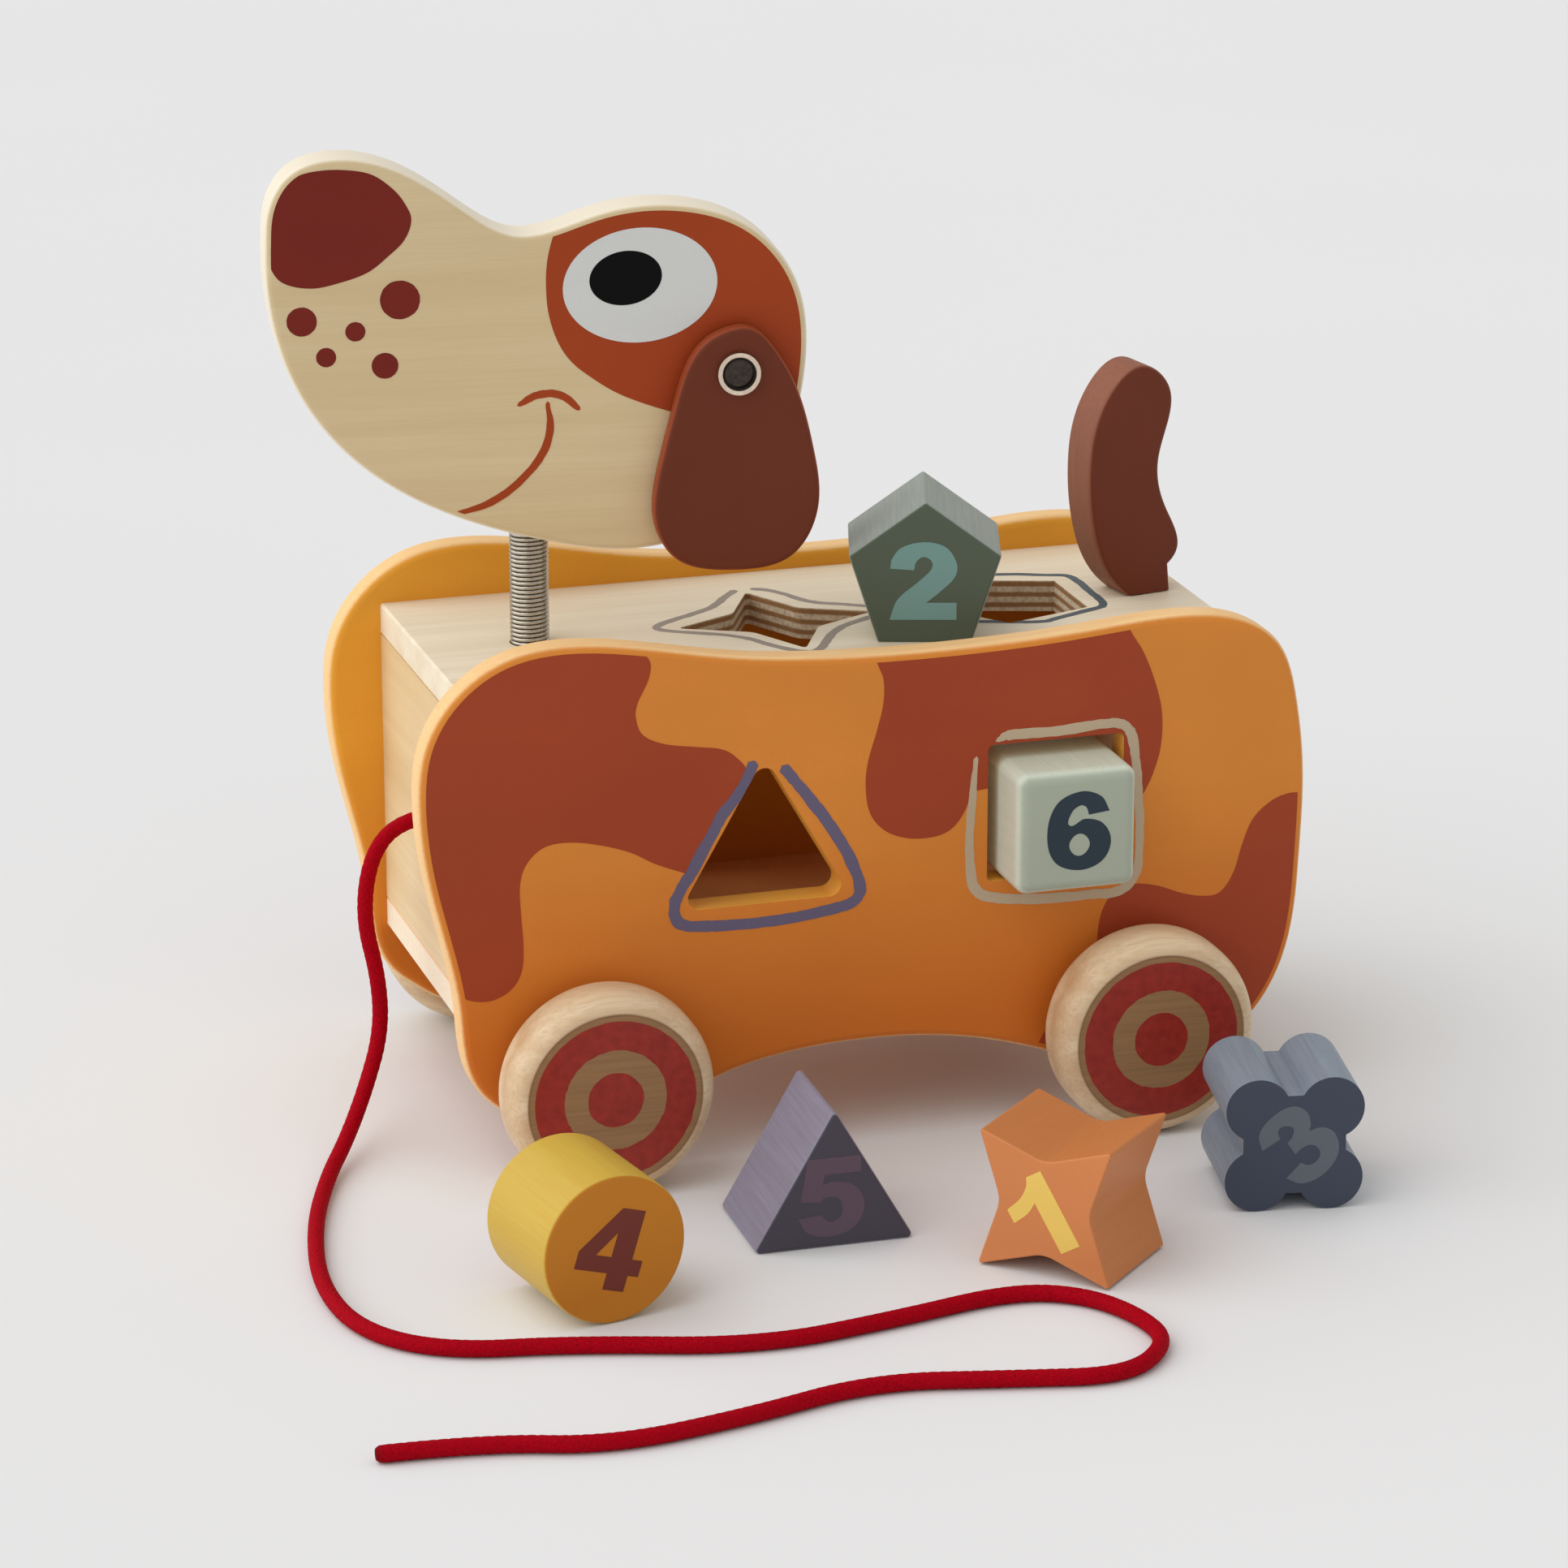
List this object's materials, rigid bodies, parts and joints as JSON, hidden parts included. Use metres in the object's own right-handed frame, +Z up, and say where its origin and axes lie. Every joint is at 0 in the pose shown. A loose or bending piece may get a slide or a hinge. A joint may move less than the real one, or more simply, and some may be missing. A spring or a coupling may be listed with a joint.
{
  "type": "pull along toy",
  "caption": "Wooden pull-along dog on wheels with a spring neck, swinging ears and a hollow body that sorts loose shaped blocks.",
  "frame": {"origin": "on the floor, under the middle of the body's length and width", "axes": "+X towards the tail, -Y towards the dog's left side with the triangle and square holes, +Z up"},
  "size_m": [0.2722, 0.28, 0.242],
  "materials": {
    "orange_paint": "satin paint on plywood",
    "plain_birch": "clear satin lacquer on birch plywood",
    "beech": "clear satin lacquer on beech",
    "brown_paint": "satin paint on plywood",
    "steel": "nickel-plated steel",
    "coral_paint": "satin paint on solid wood",
    "green_paint": "satin paint on solid wood",
    "blue_paint": "satin paint on solid wood",
    "yellow_paint": "satin paint on solid wood",
    "purple_paint": "satin paint on solid wood",
    "sage_paint": "satin paint on solid wood",
    "red_cord": "braided polyester cord"
  },
  "bodies": {
    "body": {"left_side_panel": "orange_paint", "right_side_panel": "orange_paint", "top_board": "plain_birch", "bottom_board": "plain_birch", "front_board": "plain_birch", "door_stop": "plain_birch", "door_pins": "steel", "cord_knot": "red_cord", "pull_cord": "red_cord"},
    "rear_door": {"rear_door": "plain_birch"},
    "front_wheels": {"front_axle": "beech", "front_left_wheel": "beech", "front_right_wheel": "beech"},
    "rear_wheels": {"rear_axle": "beech", "rear_left_wheel": "beech", "rear_right_wheel": "beech"},
    "neck": {"neck_spring": "steel"},
    "head": {"head": "plain_birch", "ear_rivet": "steel", "ear_rivet_cap": "steel"},
    "left_ear": {"left_ear": "brown_paint"},
    "right_ear": {"right_ear": "brown_paint"},
    "tail": {"tail": "brown_paint", "tail_screw": "steel"},
    "star_block": {"star_block": "coral_paint"},
    "pentagon_block": {"pentagon_block": "green_paint"},
    "flower_block": {"flower_block": "blue_paint"},
    "cylinder_block": {"cylinder_block": "yellow_paint"},
    "triangle_block": {"triangle_block": "purple_paint"},
    "cube_block": {"cube_block": "sage_paint"}
  },
  "joints": [
    {"name": "front_axle_spin", "type": "hinge", "parent": "body", "child": "front_wheels", "pos_m": [-0.0704, 0, 0.0258], "axis": [0, 1, 0], "continuous": true},
    {"name": "rear_axle_spin", "type": "hinge", "parent": "body", "child": "rear_wheels", "pos_m": [0.0681, 0, 0.0258], "axis": [0, 1, 0], "continuous": true},
    {"name": "door_swing", "type": "hinge", "parent": "body", "child": "rear_door", "pos_m": [0.0948, 0, 0.1065], "axis": [0, -1, 0], "range_deg": [0, 95]},
    {"name": "head_nod", "type": "hinge", "parent": "body", "child": "neck", "pos_m": [-0.0715, 0, 0.1335], "axis": [0, -1, 0], "range_deg": [-8, 22], "stiffness_Nm_per_rad": 0.6, "deforming": ["neck_spring"]},
    {"name": "head_sway", "type": "hinge", "parent": "neck", "child": "head", "pos_m": [-0.0715, 0, 0.1335], "axis": [1, 0, 0], "range_deg": [-15, 15], "stiffness_Nm_per_rad": 0.6, "deforming": ["neck_spring"]},
    {"name": "left_ear_swing", "type": "hinge", "parent": "head", "child": "left_ear", "pos_m": [-0.02207, -0.00607, 0.1876], "axis": [0.1219, 0.9925, 0], "range_deg": [-3, 100]},
    {"name": "right_ear_swing", "type": "hinge", "parent": "head", "child": "right_ear", "pos_m": [-0.02207, -0.00607, 0.1876], "axis": [0.1219, 0.9925, 0], "range_deg": [-100, 100]},
    {"name": "tail_swivel", "type": "hinge", "parent": "body", "child": "tail", "pos_m": [0.0865, 0, 0.1198], "axis": [0, 0, 1], "continuous": true},
    {"name": "star_lift", "type": "slide", "parent": "body", "child": "star_block", "axis": [0, 0, 1], "range_m": [0, 0.06]},
    {"name": "pentagon_lift", "type": "slide", "parent": "body", "child": "pentagon_block", "axis": [0, 0, 1], "range_m": [0, 0.06]},
    {"name": "flower_lift", "type": "slide", "parent": "body", "child": "flower_block", "axis": [0, 0, 1], "range_m": [0, 0.06]},
    {"name": "cylinder_lift", "type": "slide", "parent": "body", "child": "cylinder_block", "axis": [0, 0, 1], "range_m": [0, 0.06]},
    {"name": "triangle_lift", "type": "slide", "parent": "body", "child": "triangle_block", "axis": [0, 0, 1], "range_m": [0, 0.06]},
    {"name": "cube_push", "type": "slide", "parent": "body", "child": "cube_block", "axis": [0, -1, 0], "range_m": [-0.045, 0.025]}
  ]
}
